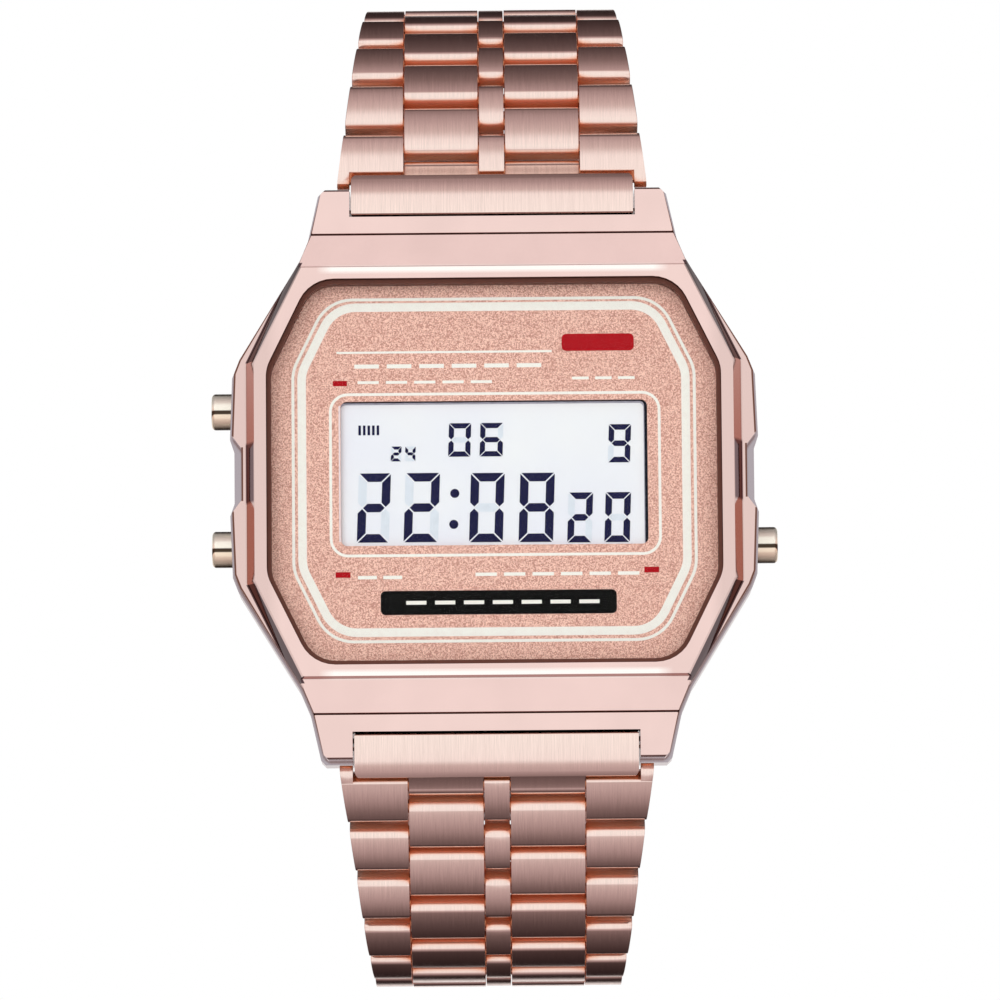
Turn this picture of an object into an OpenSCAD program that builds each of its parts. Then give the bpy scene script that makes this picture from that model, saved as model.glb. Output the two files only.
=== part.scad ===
// Digital wrist watch with a five-row link bracelet, closed as a loop.
// X points to 3 o'clock, Y from the face into the wrist, Z to 12 o'clock.
// The origin is the centre of the case back's outer face.

/* [Case] */
// Half width of the case's front flange
case_half_w = 16.65; // [16.5:0.05:16.8]
// Depth from the bezel ring's front to the flange
flange_drop = 1.3; // [1.1:0.1:1.6]
// Half length of the case over the horns
case_half_l = 18.2; // [18.0:0.05:18.4]
// Thickness from the case back to the front of the bezel ring
case_t = 8.2; // [8.0:0.1:8.6]
// Gap between the horns, for the bracelet
lug_w = 18.2; // [18.1:0.05:18.4]
// How far the lower shell stands out past the flange
shell_step = 0.2; // [0.1:0.05:0.3]
// Gap around the pieces that rest in a pocket
fit_gap = 0.05; // [0.03:0.01:0.08]

/* [Window] */
// Case beside the bezel ring's opening, on each side
rim_side = 2.22; // [2.15:0.01:2.35]
// Case above and below the bezel ring's opening
rim_end = 5.9; // [5.8:0.05:6.1]
// Display window's width as a share of the opening
window_share_w = 0.6757; // [0.62:0.0001:0.7]
// Display window's height as a share of the opening
window_share_h = 0.3756; // [0.35:0.0001:0.39]

/* [Buttons] */
// Radius of a button's cap
button_r = 1.16; // [1.1:0.01:1.2]
// How far a button stands out of the case
button_out = 1.4; // [1.1:0.1:1.5]
// Rounding of a button cap's outer edge
button_round = 0.25; // [0.15:0.05:0.35]
// Height of the buttons above and below the middle
button_z = 4.43; // [4.2:0.05:4.8]
// Travel of a button
button_travel = 0.7; // [0.5:0.1:0.7]

/* [Bracelet] */
// Distance from one bracelet hinge to the next
pitch = 3.8; // [3.75:0.01:3.85]
// Radius of the bracelet's pins
pin_r = 0.45; // [0.4:0.05:0.5]
// Radial play of a pin in the piece that turns on it
pin_play = 0.05; // [0.02:0.01:0.08]
// Side gap between neighbouring rows
row_gap = 0.06; // [0.04:0.01:0.12]
// Height of a link's outer face above its pins
link_top = 1.25; // [1.15:0.05:1.3]
// Depth of a link's wrist face below its pins
link_bottom = 1.15; // [1.05:0.05:1.2]
// Half width of the narrow part of the bracelet
band_half_w = 7.95; // [7.8:0.05:8.05]
// How far the first link reaches past the gap between the horns, on each side
shoulder = 0.7; // [0.5:0.05:0.75]
// Width of the wide pieces beside the centre
mid_w = 4.74; // [4.6:0.02:4.8]

/* [Clasp] */
// Radius of the clasp's curve at the pins
clasp_r = 40; // [39:0.5:41]
// Length of the clasp cover from its pin to the blade hinge
clasp_l = 40; // [39.5:0.25:40.5]
// Thickness of the clasp's sheets
clasp_sheet = 0.5; // [0.4:0.05:0.5]

/* [Hidden] */
$fn = 48;

rose = [0.88, 0.66, 0.58];
rose_dark = [0.74, 0.55, 0.48];
gold = [0.93, 0.80, 0.58];
steel = [0.72, 0.73, 0.75];
black = [0.12, 0.12, 0.13];

// Depths, all measured from the case back's outer face towards the viewer
ring_y = -case_t;
flange_y = ring_y + flange_drop;
shell_y = ring_y + 3.7;
shell_back_y = -0.4;
plate_y = ring_y + 1.62;
plate_t = 0.3;
ledge_y = plate_y + plate_t;
back_t = 0.9;
crystal_front_y = ring_y + 0.2;
crystal_back_y = plate_y - 0.02;

// The octagon shared by ring, crystal, plate and module: half width, half height, slant distance
slant = 26.3;
function octagon(half_w, half_h, cut) = [half_w, half_h, half_w * cos(slant) + half_h * sin(slant) - cut];
open_half_w = case_half_w - rim_side;
open_half_h = case_half_l - rim_end;
window_w = 2 * open_half_w * window_share_w;
window_h = 2 * open_half_h * window_share_h;
ring_oct = octagon(open_half_w + 0.77, open_half_h + 0.73, 2.72);
open_oct = octagon(open_half_w, open_half_h, 2.526);
cavity_oct = octagon(case_half_w - 3.45, case_half_l - 5.8, 2.828);
front_cavity_oct = octagon(cavity_oct[0] - 0.6, cavity_oct[1] - 1.8, 1.992);
back_oct = octagon(case_half_w - 1.05, case_half_l - 3.8, 3.765);

button_y = -3.2;
cavity_x = cavity_oct[0];
bore_x = case_half_w - 1.75;
stem_r = 0.6;
stem_play = 0.05;
cap_play = 0.08;
cap_outer_x = case_half_w + button_out;
cap_inner_x = bore_x + button_travel + 0.35;
stem_tip_x = cavity_x - 0.25;
seal_x = cavity_x + 0.5;
seal_w = 0.5;
seal_r = 1.0;
board_half_w = cavity_x - 1.2;
board_half_h = cavity_oct[1] * 45 / 62;

// Lug spring bars and the bracelet's start
bar_y = -3.4;
bar_z = case_half_l - 1.2;
bar_r = 0.75;
bar_tip_r = 0.4;
bar_play = 0.03;
notch_z = case_half_l - 1.75;
barrel_notch_z = bar_z - 1.55;
horn_gap = 0.1;
hood_far_z = case_half_l + 1.2;
hinge0 = [-4.35, hood_far_z + 0.2];

// Rows of the bracelet, as distances from the middle
centre_half = 0.8;
mid_inner = centre_half + row_gap;
mid_outer = mid_inner + mid_w;
outer_inner = mid_outer + row_gap;
end_reach = 0.2 * pitch;
half_turn = 0.54 * pitch;
first_pitch = 0.46 * pitch;
clasp_end_extra = 2.0;
links_per_side = 12;

// Tilt of every link from the straight band, at rest
tilts_12 = [20, 26, 41.5, 53, 70, 85.5, 99, 110.5, 120.5, 128.5, 135, 140.5];
tilts_6_start = [41, 39.5, 39.5, 55.5, 70.5, 85, 97, 108.5, 119, 128.5];
clasp_start = 145.6;

function arm(i, last) = i == 0 ? first_pitch : (i == links_per_side - 1 ? last : pitch);
function joint_at(t, i, last) =
  i == 0 ? hinge0 : joint_at(t, i - 1, last) + arm(i - 1, last) * [sin(t[i - 1]), cos(t[i - 1])];

// Clasp points: local s runs along the band, local h outwards
function clasp_angle(s) = s / clasp_r * 180 / PI;
function clasp_point(s, r) = [r * sin(clasp_angle(s)), r * cos(clasp_angle(s)) - clasp_r];
function clasp_world(p) =
  joint_at(tilts_12, links_per_side, pitch)
  + p[0] * [sin(clasp_start), cos(clasp_start)]
  + p[1] * [-cos(clasp_start), sin(clasp_start)];

cover_r = clasp_r + 0.9;
cover_t = clasp_sheet + 0.1;
blade_hinge_r = clasp_r + 0.1;
fold_hinge_s = 3.4;
fold_hinge_r = clasp_r - 0.4;
middle_r = clasp_r - 0.15;
inner_r = clasp_r - 1.15;
tip_r = clasp_r - 1.8;
knuckle_r = 0.7;
blade_pin_r = 0.35;
tip_barrel_r = 0.9;
cover_full_s = clasp_l - 1.4;
cover_knuckle_in = 3.5;
cover_knuckle_out = 5.3;
fold_knuckle_in = 3.5;
blade_half_w = 6.5;
inner_half_w = 5.4;

// The 6 o'clock half is bent a little more or less until its last two links just reach the clasp
tip_world = clasp_world(clasp_point(clasp_l, tip_r));
reach_target = [tip_world[0], -tip_world[1]];
last_arm = pitch + clasp_end_extra;
full_reach = 0.996 * (pitch + last_arm);
first_bent = 5;
function bent(d) =
  [for (i = [0:9]) tilts_6_start[i] + (i > first_bent ? d * (i - first_bent) / (9 - first_bent) : 0)];
function reach_vec(t) = reach_target - joint_at(t, 10, pitch);
function bend_between(low, high, n) =
  let(mid = (low + high) / 2)
  n == 0
    ? mid
    : (norm(reach_vec(bent(mid))) > full_reach ? bend_between(mid, high, n - 1) : bend_between(low, mid, n - 1));
tilts_6_bent = bent(bend_between(-60, 60, 40));
reach = norm(reach_vec(tilts_6_bent));
reach_tilt = atan2(reach_vec(tilts_6_bent)[0], reach_vec(tilts_6_bent)[1]);
elbow_near = acos((pitch * pitch + reach * reach - last_arm * last_arm) / (2 * pitch * reach));
elbow_far = acos((last_arm * last_arm + reach * reach - pitch * pitch) / (2 * last_arm * reach));
tilts_6 = concat(tilts_6_bent, [reach_tilt - elbow_near, reach_tilt + elbow_far]);

echo(tilts_12 = tilts_12);
echo(tilts_6 = tilts_6);
echo(hinges_12 = [for (i = [0:links_per_side]) joint_at(tilts_12, i, pitch)]);
echo(hinges_6 = [for (i = [0:links_per_side]) joint_at(tilts_6, i, last_arm)]);
echo(blade_hinge = clasp_world(clasp_point(clasp_l, blade_hinge_r)));
echo(fold_hinge = clasp_world(clasp_point(fold_hinge_s, fold_hinge_r)));
echo(tip = tip_world);

// Half width of the bracelet at a distance along it
taper_end = 5.2;
function half_w(s) =
  band_half_w
  + (lug_w / 2 + shoulder - band_half_w) * pow(max(0, 1 - s / (taper_end * pitch)), 1.25);

// Points of an octagon with slanted corners
function oct(o) =
  let(
    z = (o[2] - o[0] * cos(slant)) / sin(slant),
    x = (o[2] - o[1] * sin(slant)) / cos(slant)
  )
  [[o[0], z], [x, o[1]], [-x, o[1]], [-o[0], z], [-o[0], -z], [-x, -o[1]], [x, -o[1]], [o[0], -z]];
function grown(o, t) = [o[0] + t, o[1] + t, o[2] + t];

function unit(v) = v / norm(v);
function corner(a, b, c, r, n) =
  let(
    u = unit(a - b),
    v = unit(c - b),
    half = acos(u * v) / 2,
    m = b + unit(u + v) * (r / sin(half)),
    p = b + u * (r / tan(half)) - m,
    q = b + v * (r / tan(half)) - m,
    from = atan2(p[1], p[0]),
    turn = atan2(p[0] * q[1] - p[1] * q[0], p * q)
  )
  [for (i = [0:n]) m + r * [cos(from + turn * i / n), sin(from + turn * i / n)]];
function rounded(pts, r, n = 6) =
  let(k = len(pts))
  [for (i = [0:k - 1]) each corner(pts[(i + k - 1) % k], pts[i], pts[(i + 1) % k], r, n)];
function rect(hw, hh) = [[hw, -hh], [hw, hh], [-hw, hh], [-hw, -hh]];

// Prisms along the three axes
module along_y(y0, y1) {
  translate([0, y1, 0]) rotate([90, 0, 0]) linear_extrude(y1 - y0) children();
}
module along_x(x0, x1) {
  translate([x0, 0, 0]) rotate([90, 0, 90]) linear_extrude(x1 - x0) children();
}
module both_sides() {
  children();
  mirror([1, 0, 0]) children();
}
module rod(r, x0, x1) {
  translate([x0, 0, 0]) rotate([0, 90, 0]) cylinder(r = r, h = x1 - x0);
}
module oct_y(o, r, y0, y1) {
  along_y(y0, y1) polygon(rounded(oct(o), r));
}

// Case outline, one quarter after the other
notch_depth = 0.6;
shell_notch_depth = 0.28;
function quarter(g, notch) =
  concat(
    [[case_half_w - notch + g, 1.65], [case_half_w + g, 2.45]],
    [
      [case_half_w - 0.15 + g, 6.4],
      [case_half_w - 0.5 + g, 7.3],
      [case_half_w - 4.35 + g, case_half_l - 4.65],
      [case_half_w - 5.05 + g, case_half_l - 3],
      [lug_w / 2 + 1.85 + g, case_half_l - 0.3 + g],
      [lug_w / 2 + 1.55 + g, case_half_l + g]
    ]
  );
function turned(pts) = [for (i = [len(pts) - 1:-1:0]) pts[i]];
function outline(g, notch) =
  let(q = quarter(g, notch))
  concat(
    q,
    turned([for (p = q) [-p[0], p[1]]]),
    [for (p = q) [-p[0], -p[1]]],
    turned([for (p = q) [p[0], -p[1]]])
  );

slope_z = ring_oct[1] + 2.27;
// Fine groove along the foot of the bezel's slope
module crease() {
  for (z = [slope_z, -slope_z - 0.04]) {
    along_x(-20, 20)
      polygon([[flange_y - 0.05, z - 0.07], [flange_y + 0.12, z + 0.02], [flange_y - 0.05, z + 0.11]]);
  }
}
module bezel_block() {
  base_y = flange_y + 0.5;
  step_y = ring_y + 0.56;
  step_z = ring_oct[1] + 0.12;
  lean_w = 0.52;
  big = 40;
  base_w = ring_oct[0] + lean_w;
  slant_d = ring_oct[2];
  intersection() {
    translate([0, 0, -big / 2])
      linear_extrude(big)
        polygon([
          [-base_w, base_y], [-base_w, flange_y], [-ring_oct[0], ring_y],
          [ring_oct[0], ring_y], [base_w, flange_y], [base_w, base_y]
        ]);
    along_x(-big / 2, big / 2)
      polygon([
        [base_y, -slope_z], [flange_y, -slope_z], [step_y, -step_z], [ring_y, -ring_oct[1]],
        [ring_y, ring_oct[1]], [step_y, step_z], [flange_y, slope_z], [base_y, slope_z]
      ]);
    for_slants(slant, slant_d, lean_w, base_y, big);
    for_slants(-slant, slant_d, lean_w, base_y, big);
  }
}
module for_slants(angle, d, lean, base_y, big) {
  rotate([0, angle, 0])
    translate([0, 0, -big / 2])
      linear_extrude(big)
        polygon([
          [-d - lean, base_y], [-d - lean, flange_y], [-d, ring_y],
          [d, ring_y], [d + lean, flange_y], [d + lean, base_y]
        ]);
}

screw_x = cavity_oct[0] - 1;
screw_z = cavity_oct[1] - 1.6;
screw_r = 0.5;
screw_l = 3.4;
head_r = 0.85;
head_t = 0.5;
module at_screws() {
  for (x = [-screw_x, screw_x]) {
    for (z = [-screw_z, screw_z]) {
      translate([x, 0, z]) children();
    }
  }
}

// Buttons point outwards along local +X, so those on the left are mirrored
module at_button(side, z) {
  translate([0, button_y, z]) mirror([side < 0 ? 1 : 0, 0, 0]) children();
}
button_places = [[-1, button_z], [-1, -button_z], [1, -button_z]];

module button_bores() {
  for (b = button_places) {
    at_button(b[0], b[1]) {
      rod(stem_r + stem_play, cavity_x - 0.5, bore_x + 0.1);
      rod(button_r + cap_play, bore_x, case_half_w + 1);
      rod(seal_r, seal_x, seal_x + seal_w);
    }
  }
}

shell_half_l = case_half_l + 0.55;
module case_shell() {
  color(rose)
    difference() {
      union() {
        intersection() {
          along_y(flange_y, shell_y) polygon(outline(0, notch_depth));
          along_x(-20, 20)
            polygon([
              [shell_y, -case_half_l], [flange_y + 0.15, -case_half_l], [flange_y, -case_half_l + 0.12],
              [flange_y, case_half_l - 0.12], [flange_y + 0.15, case_half_l], [shell_y, case_half_l]
            ]);
        }
        intersection() {
          along_y(shell_y - 0.2, shell_back_y) polygon(outline(shell_step, shell_notch_depth));
          along_x(-20, 20)
            polygon([
              [shell_y - 0.3, -shell_half_l], [-2.4, -shell_half_l], [-1.2, -case_half_l + 0.6],
              [shell_back_y, -14.6], [shell_back_y, 14.6], [-1.2, case_half_l - 0.6],
              [-2.4, shell_half_l], [shell_y - 0.3, shell_half_l]
            ]);
        }
        intersection() {
          bezel_block();
          along_y(-9, -4) polygon(outline(-0.04, notch_depth));
        }
      }
      crease();
      oct_y(open_oct, 2.4, ring_y - 1, ledge_y);
      oct_y(front_cavity_oct, 1.2, ledge_y - 0.1, -5.3);
      oct_y(cavity_oct, 1.0, -5.4, 1);
      along_y(-back_t - 0.6, 1)
        difference() {
          polygon(rounded(oct(grown(cavity_oct, 0.64)), 1.64));
          polygon(rounded(oct(grown(cavity_oct, 0.16)), 1.16));
        }
      oct_y(grown(back_oct, fit_gap), 1.0, -back_t, 1);
      translate([-lug_w / 2, ring_y - 1, notch_z]) cube([lug_w, 12, 6]);
      translate([-lug_w / 2, ring_y - 1, -notch_z - 6]) cube([lug_w, 12, 6]);
      translate([-lug_w / 2, -5.1, barrel_notch_z]) cube([lug_w, 12, 6]);
      translate([-lug_w / 2, -5.1, -barrel_notch_z - 6]) cube([lug_w, 12, 6]);
      for (z = [-bar_z, bar_z]) {
        translate([0, bar_y, z]) rod(bar_tip_r + bar_play, -lug_w / 2 - 1.1, lug_w / 2 + 1.1);
      }
      at_screws() rotate([90, 0, 0]) cylinder(r = screw_r + 0.01, h = screw_l + 0.05);
      button_bores();
    }
}

module crystal() {
  o = grown(open_oct, -0.3);
  color([0.85, 0.92, 0.95, 0.35])
    hull() {
      oct_y(o, 2.2, crystal_front_y + 0.4, crystal_back_y);
      oct_y(grown(o, -0.4), 2.0, crystal_front_y, crystal_front_y + 0.2);
    }
}

module crystal_gasket() {
  color(black)
    along_y(crystal_front_y + 0.3, crystal_back_y)
      difference() {
        polygon(rounded(oct(grown(open_oct, -0.02)), 2.4));
        polygon(rounded(oct(grown(open_oct, -0.28)), 2.2));
      }
}

module face_plate() {
  color([0.88, 0.68, 0.62])
    along_y(plate_y, plate_y + plate_t - 0.01)
      difference() {
        polygon(rounded(oct(grown(open_oct, -0.06)), 2.3));
        polygon(rounded(rect(window_w / 2, window_h / 2), 0.4));
      }
}

lcd_half_w = window_w / 2 + 1.65;
lcd_half_h = window_h / 2 + 1.98;
lcd_y = ledge_y + 0.06;
glass_t = 0.55;
lcd_back_y = lcd_y + 2 * glass_t + 0.06;
module lcd_glass() {
  color([0.86, 0.88, 0.92]) {
    along_y(lcd_y, lcd_y + glass_t) square([2 * lcd_half_w, 2 * lcd_half_h], center = true);
    along_y(lcd_y + glass_t + 0.05, lcd_back_y)
      square([2 * lcd_half_w, 2 * lcd_half_h - 1.2], center = true);
  }
}

board_y = -3.75;
board_t = 0.5;
board_back_y = board_y + board_t;
guide_half_w = lcd_half_w - 1;
guide_half_h = window_h / 2 + 0.28;
strip_in = guide_half_h + 0.35;
strip_out = strip_in + 1;
module light_guide() {
  color([0.93, 0.95, 0.93])
    along_y(lcd_back_y + 0.05, lcd_back_y + 0.75)
      square([2 * guide_half_w, 2 * guide_half_h], center = true);
}

module contact_strips() {
  color([0.25, 0.25, 0.28])
    for (z = [-strip_out, strip_in]) {
      translate([-guide_half_w, lcd_back_y + 0.01, z])
        cube([2 * guide_half_w, board_y - lcd_back_y - 0.02, strip_out - strip_in]);
    }
}

frame_y = lcd_y + 0.02;
frame_back_y = -1.6;
frame_oct = grown(front_cavity_oct, -0.25);
module button_notches() {
  for (b = button_places) {
    at_button(b[0], b[1]) translate([board_half_w - 0.4, -1.4, -1.4]) cube([3, 5, 2.8]);
  }
}
module module_frame() {
  color([0.22, 0.23, 0.26])
    difference() {
      oct_y(frame_oct, 1.0, frame_y, frame_back_y);
      translate([-lcd_half_w - fit_gap, frame_y - 1, -lcd_half_h - fit_gap])
        cube([2 * (lcd_half_w + fit_gap), lcd_back_y - frame_y + 1, 2 * (lcd_half_h + fit_gap)]);
      translate([-guide_half_w - fit_gap, frame_y, -guide_half_h - fit_gap])
        cube([2 * (guide_half_w + fit_gap), 8, 2 * (guide_half_h + fit_gap)]);
      for (z = [-strip_out - fit_gap, strip_in - fit_gap]) {
        translate([-guide_half_w - 2 * fit_gap, frame_y, z])
          cube([2 * guide_half_w + 4 * fit_gap, 8, strip_out - strip_in + 2 * fit_gap]);
      }
      translate([guide_half_w - 0.1, frame_y, -0.9]) cube([1.35, 8, 1.8]);
      along_y(board_y - 0.02, 2)
        square([2 * board_half_w + 0.06, 2 * board_half_h + 0.1], center = true);
      button_notches();
    }
}

module circuit_board() {
  color([0.10, 0.35, 0.22])
    difference() {
      along_y(board_y, board_back_y) square([2 * board_half_w, 2 * board_half_h], center = true);
      along_y(board_y - 1, board_back_y + 1)
        for (c = [[1, 1], [1, -1], [-1, 1], [-1, -1]]) {
          scale([c[0], c[1]])
            polygon([
              [board_half_w + 0.1, board_half_h - 2.8], [board_half_w + 0.1, board_half_h + 0.1],
              [board_half_w - 2.1, board_half_h + 0.1]
            ]);
        }
    }
}

battery_r = (board_half_w + board_half_h) * 8 / 21;
battery_x = battery_r + 1.6 - cavity_x;
clip_far_x = battery_x + battery_r + 0.2;
chip_x = (board_half_w + clip_far_x) / 2 + 0.1;
chip_r = (board_half_w - clip_far_x) / 2 - 1.3;
can_l = 2 * chip_r - 0.4;
module board_parts() {
  color(black) {
    translate([chip_x, board_back_y + 0.01, 0]) rotate([-90, 0, 0]) cylinder(r = chip_r, h = 0.8);
    translate([chip_x - 1.4, board_back_y + 0.01, 3.8 - board_half_h]) cube([0.9, 0.6, 1.6]);
    translate([chip_x + 0.6, board_back_y + 0.01, 3.8 - board_half_h]) cube([0.9, 0.6, 1.6]);
  }
  color(steel)
    translate([chip_x - can_l / 2, board_back_y + 0.72, board_half_h - 3.4]) rod(0.7, 0, can_l);
  color([0.95, 0.95, 0.85])
    translate([guide_half_w + 0.15, board_y - 0.81, -0.8]) cube([0.8, 0.8, 1.6]);
}

battery_y = board_back_y + 0.12;
battery_t = 1.6;
module battery() {
  color(steel)
    translate([battery_x, battery_y, 0]) rotate([-90, 0, 0]) {
      cylinder(r = battery_r - 0.6, h = 0.25);
      translate([0, 0, 0.2]) cylinder(r = battery_r, h = battery_t - 0.2);
    }
}

clip_y = battery_y + battery_t + 0.03;
clip_t = 0.15;
module battery_clip() {
  x0 = battery_x - battery_r - 0.25;
  x1 = clip_far_x;
  color(steel)
    difference() {
      union() {
        translate([x0, clip_y, -2]) cube([x1 - x0, clip_t, 4]);
        for (x = [x0, x1 - 0.15]) {
          translate([x, board_back_y + 0.01, -2]) cube([0.15, clip_y - board_back_y, 4]);
        }
      }
      translate([battery_x, clip_y - 1, 0]) rotate([-90, 0, 0]) cylinder(r = 1.2, h = 3);
    }
}

module button_contacts() {
  color(gold)
    for (b = button_places) {
      at_button(b[0], b[1])
        translate([board_half_w + 0.01, board_y - button_y + 0.05, -0.6]) cube([0.15, 1.3, 1.2]);
    }
}

film_y = clip_y + clip_t + 0.04;
module insulator_film() {
  color([0.95, 0.80, 0.35])
    difference() {
      oct_y(grown(frame_oct, -0.8), 0.8, film_y, film_y + 0.08);
      translate([buzzer_x, film_y - 1, buzzer_z]) rotate([-90, 0, 0]) cylinder(r = 1.1, h = 3);
    }
}

piezo_r = battery_r;
piezo_x = cavity_x - 11.2;
piezo_t = 0.2;
module piezo_disc() {
  color(gold)
    translate([piezo_x, -back_t - piezo_t - 0.01, 0]) rotate([-90, 0, 0]) {
      cylinder(r = piezo_r, h = piezo_t);
    }
}

// A round wire wound along local Z, closed at both ends
module coil(r, wire, height, turns) {
  sides = 8;
  per_turn = 18;
  rings = floor(turns * per_turn);
  pts = [
    for (i = [0:rings]) let(a = 360 * i / per_turn, z = wire + (height - 2 * wire) * i / rings)
      for (j = [0:sides - 1]) let(b = 360 * j / sides)
        [(r + wire * cos(b)) * cos(a), (r + wire * cos(b)) * sin(a), z + wire * sin(b)]
  ];
  walls = [
    for (i = [0:rings - 1]) for (j = [0:sides - 1]) let(k = (j + 1) % sides)
      each [
        [i * sides + j, i * sides + k, (i + 1) * sides + k],
        [i * sides + j, (i + 1) * sides + k, (i + 1) * sides + j]
      ]
  ];
  start = [for (j = [sides - 1:-1:0]) j];
  finish = [for (j = [0:sides - 1]) rings * sides + j];
  polyhedron(points = pts, faces = concat(walls, [start, finish]), convexity = 10);
}

buzzer_x = cavity_x - 6.4;
buzzer_z = 4.5 - cavity_oct[1];
module buzzer_spring() {
  bottom = board_back_y + 0.02;
  top = -back_t - piezo_t - 0.03;
  color(gold)
    translate([buzzer_x, bottom, buzzer_z]) rotate([-90, 0, 0])
      coil(0.6, 0.1, top - bottom, 5);
}

module back_gasket() {
  color(black)
    along_y(-back_t - 0.57, -back_t - 0.01)
      difference() {
        polygon(rounded(oct(grown(cavity_oct, 0.6)), 1.6));
        polygon(rounded(oct(grown(cavity_oct, 0.2)), 1.2));
      }
}

module case_back() {
  color(steel)
    difference() {
      oct_y(back_oct, 1.0, -back_t, 0);
      at_screws() {
        rotate([90, 0, 0]) cylinder(r = screw_r + 0.1, h = 3, center = true);
        translate([0, -head_t - 0.05, 0]) rotate([-90, 0, 0]) cylinder(r = head_r + 0.08, h = 2);
      }
    }
}

module case_back_screws() {
  color(steel)
    at_screws()
      difference() {
        union() {
          translate([0, -head_t - 0.04, 0]) rotate([-90, 0, 0]) cylinder(r = head_r, h = head_t);
          translate([0, -screw_l, 0]) rotate([-90, 0, 0]) cylinder(r = screw_r, h = screw_l - 0.4);
        }
        translate([-2, -0.29, -0.1]) cube([4, 1, 0.2]);
        translate([-0.1, -0.29, -2]) cube([0.2, 1, 4]);
      }
}

module button_seals() {
  color(black)
    for (b = button_places) {
      at_button(b[0], b[1])
        difference() {
          rod(seal_r - 0.01, seal_x + 0.02, seal_x + seal_w - 0.02);
          rod(stem_r + 0.02, seal_x - 1, seal_x + 2);
        }
    }
}

// Pusher with the snap ring that holds it in
module button(side, z) {
  color(gold)
    at_button(side, z) {
      rotate([0, 90, 0])
        rotate_extrude()
          polygon(concat(
            [[0, cap_inner_x], [button_r, cap_inner_x]],
            [
              for (a = [0:15:90])
                [button_r - button_round * (1 - cos(a)), cap_outer_x - button_round * (1 - sin(a))]
            ],
            [[0, cap_outer_x]]
          ));
      difference() {
        rod(stem_r, stem_tip_x, cap_inner_x + 0.1);
        difference() {
          rod(2, cavity_x - 0.2, cavity_x - 0.02);
          rod(stem_r - 0.15, cavity_x - 1, cavity_x + 1);
        }
      }
      difference() {
        rod(0.95, cavity_x - 0.18, cavity_x - 0.04);
        rod(stem_r - 0.14, cavity_x - 1, cavity_x + 1);
      }
    }
}
module button_upper_left() button(-1, button_z);
module button_lower_left() button(-1, -button_z);
module button_lower_right() button(1, -button_z);

module return_spring(side, z) {
  color(steel)
    at_button(side, z)
      translate([bore_x + 0.01, 0, 0]) rotate([0, 90, 0])
        coil(0.9, 0.1, cap_inner_x - bore_x - 0.02, 2.5);
}
module return_spring_upper_left() return_spring(-1, button_z);
module return_spring_lower_left() return_spring(-1, -button_z);
module return_spring_lower_right() return_spring(1, -button_z);

module spring_bar() {
  color(steel)
    translate([0, bar_y, bar_z]) {
      rod(bar_r, -lug_w / 2 + 0.1, lug_w / 2 - 0.1);
      rod(bar_tip_r, -lug_w / 2 - 1, lug_w / 2 + 1);
    }
}
module spring_bar_12() spring_bar();
module spring_bar_6() mirror([0, 0, 1]) spring_bar();

// End link: a hood over the spring bar with two tabs that carry the first hinge
module end_link() {
  hood_half = lug_w / 2 - horn_gap;
  corner_r = 0.5;
  near_z = notch_z + 0.16;
  near_y = flange_y + 0.15;
  far_y = hinge0[0] - 1.37;
  run = hood_far_z - 0.18 - near_z;
  drop = far_y - near_y;
  bow = (run * run + drop * drop) / (2 * drop);
  bow_end = asin(run / bow);
  hood = concat(
    [
      [near_y + 0.08, near_z], [-4.7, near_z], [-3.1, bar_z - 1.1], [-2.1, bar_z],
      [-2.6, bar_z + 1.1], [-3.5, hood_far_z - 0.85], [-4.9, hood_far_z - 0.75],
      [far_y + 0.27, hood_far_z - 0.1], [far_y + 0.12, hood_far_z - 0.06]
    ],
    [for (i = [8:-1:0]) let(a = bow_end * i / 8) [near_y + bow * (1 - cos(a)), near_z + 0.08 + bow * sin(a)]]
  );
  tab = [
    [far_y - 0.2, hood_far_z - 1], [far_y + 0.03, hood_far_z - 0.1],
    [hinge0[0] - 0.5, hinge0[1] + 0.52], [hinge0[0] - 0.3, hinge0[1] + 0.69],
    [hinge0[0] + 0.6, hinge0[1] - 0.2], [-3.6, hood_far_z - 1.4]
  ];
  color(rose)
    difference() {
      union() {
        difference() {
          along_x(-hood_half, hood_half) polygon(hood);
          both_sides()
            along_y(-9, 0)
              difference() {
                translate([hood_half - corner_r, hood_far_z - corner_r]) square(2);
                translate([hood_half - corner_r, hood_far_z - corner_r]) circle(corner_r);
              }
        }
        translate([0, bar_y, bar_z]) rod(1.3, -hood_half + 0.02, hood_half - 0.02);
        both_sides() {
          along_x(mid_inner, mid_outer) polygon(tab);
          translate([0, hinge0[0], hinge0[1]]) rod(end_reach, mid_inner + 0.02, mid_outer - 0.02);
        }
      }
      translate([0, bar_y, bar_z]) rod(bar_r + bar_play, -20, 20);
      translate([0, hinge0[0], hinge0[1]]) rod(pin_r + pin_play, -20, 20);
    }
}
module end_link_12() end_link();
module end_link_6() mirror([0, 0, 1]) end_link();

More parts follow.
